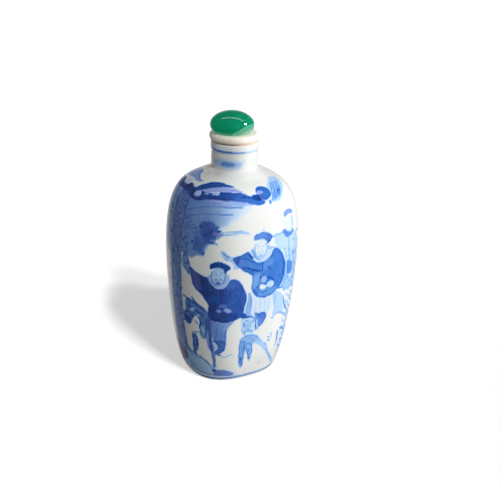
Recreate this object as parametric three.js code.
// A Chinese porcelain snuff bottle with its stopper, standing upright.
//
// The bottle is one hollow casting: a high-shouldered body whose section is a rounded rectangle,
// a short round neck with a flat lip, and a recessed underside inside a narrow foot ring.
// The stopper is three pieces: a cork plug in the mouth, a bone collar on the lip and a
// green cabochon set on the collar, a little off its middle.
//
// Millimetres, +Z up. The origin is the centre of the foot ring, on the surface that the bottle
// stands on. The wide faces of the body look along -Y and +Y.
import * as THREE from "three";

// Body: half sizes of its section at the widest height, and how square that section is.
const BODY_HALF_WIDTH = 18.3;
const BODY_HALF_DEPTH = 16.2;
const WIDEST_HEIGHT = 39;
const SECTION_POWER = 2.65; // 2 is an ellipse, and larger numbers are squarer
const ROUND_WITHIN = 11; // the shoulder's section turns round from this radius in to the neck

// The two handles that bend each half of the body's outline, as radius and height.
const SWELL_LOW_HANDLE = [16.7, 8.2];
const SWELL_HIGH_HANDLE = [BODY_HALF_WIDTH, 29.8];
const SHOULDER_LOW_HANDLE = [BODY_HALF_WIDTH, 60.3];
const SHOULDER_HIGH_HANDLE = [11.7, 58.1];

// Foot: the flat ring that the bottle stands on, and the shallow recess inside it.
const FOOT_RADIUS = 12.8;
const FOOT_EDGE = 0.4; // how far its outer edge slopes out and up
const FOOT_RING_WIDTH = 1.6;
const FOOT_RECESS = 1.1;
const RECESS_SLOPE = 0.8; // how far in the recess's side slopes

// Neck and lip.
const SHOULDER_HEIGHT = 61.7; // where the shoulder meets the neck
const NECK_RADIUS = 6.5;
const NECK_FLARE = 0.12; // the neck is this much wider at its root
const NECK_FLARE_HEIGHT = 0.6;
const LIP_UNDER_HEIGHT = 66.9;
const LIP_HEIGHT = 69;
const LIP_RADIUS = 6.7;
const LIP_STEP = 0.2; // half the height of the slope under the lip
const LIP_ROUNDING = 0.35;
const MOUTH_RADIUS = 4.2;

// Inside: an even wall, a shoulder that ends at the mouth, and a floor with a rounded edge.
const WALL = 2.2;
const FLOOR_HEIGHT = 3.4;
const FLOOR_CLEARANCE = 2; // the wall stops this far above the floor, and the edge begins
const FLOOR_EDGE = [1.0, 0.6]; // the first point of that edge, in from the wall and up
const FLOOR_EDGE_WIDTH = 3.0;
const MOUTH_SHOULDER = 0.6; // the inside shoulder stops this far outside the mouth

// Stopper: heights are measured up from the lip, with a fine gap where pieces meet.
const GAP = 0.3;
const CORK_RADIUS = 3.9;
const CORK_TIP_RADIUS = 3.6;
const CORK_TIP_BEVEL = 0.3;
const CORK_LENGTH = 6.6;
const COLLAR_RADIUS = 6.8;
const COLLAR_THICKNESS = 1.9;
const COLLAR_ROUNDING = 0.9;
const COLLAR_SHIFT = [-0.26, 0.15];
const CABOCHON_RADIUS = 6.15;
const CABOCHON_DOME = 3.75; // from its widest height to its top
const CABOCHON_UNDERSIDE = 1.85; // from its widest height down to its flat base
const CABOCHON_SHIFT = [-0.76, 0.43];

// How finely each shape is faceted.
const BODY_SEGMENTS = 60;
const SWELL_STEPS = 12;
const SHOULDER_STEPS = 14;
const LIP_STEPS = 3;
const STOPPER_SEGMENTS = 36;
const COLLAR_STEPS = 4;
const DOME_STEPS = 10;

function point([radius, height]) {
  return new THREE.Vector2(radius, height);
}

// The outside of the body from the foot's edge up to the neck, as radius and height. Radius is
// measured along X, across the wide faces. One curve swells from the foot to the widest height,
// and a second one rises from there and turns in over the shoulder, where the neck takes over.
function bodyWall() {
  const widest = new THREE.Vector2(BODY_HALF_WIDTH, WIDEST_HEIGHT);
  const swell = new THREE.CubicBezierCurve(
    new THREE.Vector2(FOOT_RADIUS + FOOT_EDGE, FOOT_EDGE),
    point(SWELL_LOW_HANDLE),
    point(SWELL_HIGH_HANDLE),
    widest,
  );
  const shoulder = new THREE.CubicBezierCurve(
    widest,
    point(SHOULDER_LOW_HANDLE),
    point(SHOULDER_HIGH_HANDLE),
    new THREE.Vector2(NECK_RADIUS, SHOULDER_HEIGHT),
  );
  return [
    ...swell.getPoints(SWELL_STEPS),
    ...shoulder.getPoints(SHOULDER_STEPS).slice(1, -1),
  ];
}

// A rounded edge as points on an arc round a centre, between two directions in degrees.
function roundedEdge(radius, height, rounding, fromTurn, toTurn, steps) {
  return Array.from({ length: steps + 1 }, (_, i) => {
    const turn = THREE.MathUtils.degToRad(THREE.MathUtils.lerp(fromTurn, toTurn, i / steps));
    return new THREE.Vector2(radius + rounding * Math.cos(turn), height + rounding * Math.sin(turn));
  });
}

// The neck and lip outside, the flat top of the lip, and the mouth down to the inside shoulder.
function neckAndMouth() {
  const edgeHeight = LIP_HEIGHT - LIP_ROUNDING;
  return [
    new THREE.Vector2(NECK_RADIUS + NECK_FLARE, SHOULDER_HEIGHT),
    new THREE.Vector2(NECK_RADIUS, SHOULDER_HEIGHT + NECK_FLARE_HEIGHT),
    new THREE.Vector2(NECK_RADIUS, LIP_UNDER_HEIGHT - LIP_STEP),
    new THREE.Vector2(LIP_RADIUS, LIP_UNDER_HEIGHT + LIP_STEP),
    ...roundedEdge(LIP_RADIUS - LIP_ROUNDING, edgeHeight, LIP_ROUNDING, 0, 90, LIP_STEPS),
    ...roundedEdge(MOUTH_RADIUS + LIP_ROUNDING, edgeHeight, LIP_ROUNDING, 90, 180, LIP_STEPS),
    new THREE.Vector2(MOUTH_RADIUS, SHOULDER_HEIGHT - WALL),
  ];
}

// The inside of the body, from the mouth down to the floor: the outside wall moved in by its
// thickness, square to the wall. The inside isn't seen, so it keeps every other point.
function chamberWall(outside) {
  const inside = [];
  for (let i = 1; i < outside.length - 1; i++) {
    const along = outside[i + 1].clone().sub(outside[i - 1]).normalize();
    const radius = outside[i].x - WALL * along.y;
    const height = outside[i].y + WALL * along.x;
    const aboveFloor = height > FLOOR_HEIGHT + FLOOR_CLEARANCE;
    const belowMouth = radius > MOUTH_RADIUS + MOUTH_SHOULDER;
    if (aboveFloor && belowMouth) inside.push(new THREE.Vector2(radius, height));
  }
  const falling = inside.filter((_, i) => i % 2 === 0).reverse();
  const lowest = falling[falling.length - 1];
  return [
    ...falling,
    new THREE.Vector2(lowest.x - FLOOR_EDGE[0], FLOOR_HEIGHT + FLOOR_EDGE[1]),
    new THREE.Vector2(lowest.x - FLOOR_EDGE_WIDTH, FLOOR_HEIGHT),
    new THREE.Vector2(0, FLOOR_HEIGHT),
  ];
}

// The underside from its middle out over the foot ring.
function underside() {
  const ringInside = FOOT_RADIUS - FOOT_RING_WIDTH;
  return [
    new THREE.Vector2(0, FOOT_RECESS),
    new THREE.Vector2(ringInside - RECESS_SLOPE, FOOT_RECESS),
    new THREE.Vector2(ringInside, 0),
    new THREE.Vector2(FOOT_RADIUS, 0),
  ];
}

// Turns the round section into the body's rounded rectangle. The neck keeps its circle, and the
// shoulder changes smoothly from one to the other.
function squareSection(geometry) {
  const position = geometry.getAttribute("position");
  const depthShare = BODY_HALF_DEPTH / BODY_HALF_WIDTH;
  const bend = (v) => Math.sign(v) * Math.abs(v) ** (2 / SECTION_POWER);
  const roundOut = NECK_RADIUS + LIP_ROUNDING;
  for (let i = 0; i < position.count; i++) {
    const radius = Math.hypot(position.getX(i), position.getY(i));
    if (radius < Number.EPSILON) continue;
    const cos = position.getX(i) / radius;
    const sin = position.getY(i) / radius;
    const onShoulder = THREE.MathUtils.smoothstep(radius, roundOut, ROUND_WITHIN);
    const squareness = position.getZ(i) < WIDEST_HEIGHT ? 1 : onShoulder;
    position.setX(i, radius * THREE.MathUtils.lerp(cos, bend(cos), squareness));
    position.setY(i, radius * THREE.MathUtils.lerp(sin, bend(sin) * depthShare, squareness));
  }
}

// A solid of revolution about +Z. Its profile starts and ends on the axis.
function turned(profile, segments) {
  return new THREE.LatheGeometry(profile, segments).rotateX(Math.PI / 2);
}

function bottleGeometry() {
  const wall = bodyWall();
  const profile = [...underside(), ...wall, ...neckAndMouth(), ...chamberWall(wall)];
  const geometry = turned(profile, BODY_SEGMENTS);
  squareSection(geometry);
  return geometry;
}

// A cork that tapers to a bevelled tip. Its flat top is level with the lip.
function corkGeometry() {
  const profile = [
    new THREE.Vector2(0, -CORK_LENGTH),
    new THREE.Vector2(CORK_TIP_RADIUS - CORK_TIP_BEVEL, -CORK_LENGTH),
    new THREE.Vector2(CORK_TIP_RADIUS, CORK_TIP_BEVEL - CORK_LENGTH),
    new THREE.Vector2(CORK_RADIUS, 0),
    new THREE.Vector2(0, 0),
  ];
  return turned(profile, STOPPER_SEGMENTS);
}

// A disc with a full, rounded rim.
function collarGeometry() {
  const flatRadius = COLLAR_RADIUS - COLLAR_ROUNDING;
  const upperCentre = COLLAR_THICKNESS - COLLAR_ROUNDING;
  const profile = [
    new THREE.Vector2(0, 0),
    ...roundedEdge(flatRadius, COLLAR_ROUNDING, COLLAR_ROUNDING, -90, 0, COLLAR_STEPS),
    ...roundedEdge(flatRadius, upperCentre, COLLAR_ROUNDING, 0, 90, COLLAR_STEPS),
    new THREE.Vector2(0, COLLAR_THICKNESS),
  ];
  return turned(profile, STOPPER_SEGMENTS);
}

// A polished cabochon: an ellipsoid cut flat below its widest height.
function cabochonGeometry() {
  const lowest = -Math.asin(CABOCHON_UNDERSIDE / CABOCHON_DOME);
  const dome = Array.from({ length: DOME_STEPS }, (_, i) => {
    const turn = THREE.MathUtils.lerp(lowest, Math.PI / 2, i / DOME_STEPS);
    return new THREE.Vector2(CABOCHON_RADIUS * Math.cos(turn), CABOCHON_DOME * Math.sin(turn));
  });
  const profile = [
    new THREE.Vector2(0, -CABOCHON_UNDERSIDE),
    ...dome,
    new THREE.Vector2(0, CABOCHON_DOME),
  ];
  return turned(profile, STOPPER_SEGMENTS);
}

function piece(name, geometry, look, height, shift = [0, 0]) {
  const mesh = new THREE.Mesh(geometry, new THREE.MeshStandardMaterial(look));
  mesh.name = name;
  mesh.position.set(shift[0], shift[1], height);
  return mesh;
}

const porcelain = { color: "#dfe4ea", roughness: 0.12, metalness: 0 };
const cork = { color: "#8a5f3a", roughness: 0.9, metalness: 0 };
const bone = { color: "#efe8dc", roughness: 0.35, metalness: 0 };
const greenStone = { color: "#0a8f5c", roughness: 0.08, metalness: 0 };

const collarHeight = LIP_HEIGHT + GAP;
const cabochonHeight = collarHeight + COLLAR_THICKNESS + GAP + CABOCHON_UNDERSIDE;

const snuffBottle = new THREE.Group();
snuffBottle.name = "snuff_bottle";
snuffBottle.add(
  piece("bottle", bottleGeometry(), porcelain, 0),
  piece("stopper_cork", corkGeometry(), cork, LIP_HEIGHT),
  piece("stopper_collar", collarGeometry(), bone, collarHeight, COLLAR_SHIFT),
  piece("stopper_cabochon", cabochonGeometry(), greenStone, cabochonHeight, CABOCHON_SHIFT),
);

export default snuffBottle;
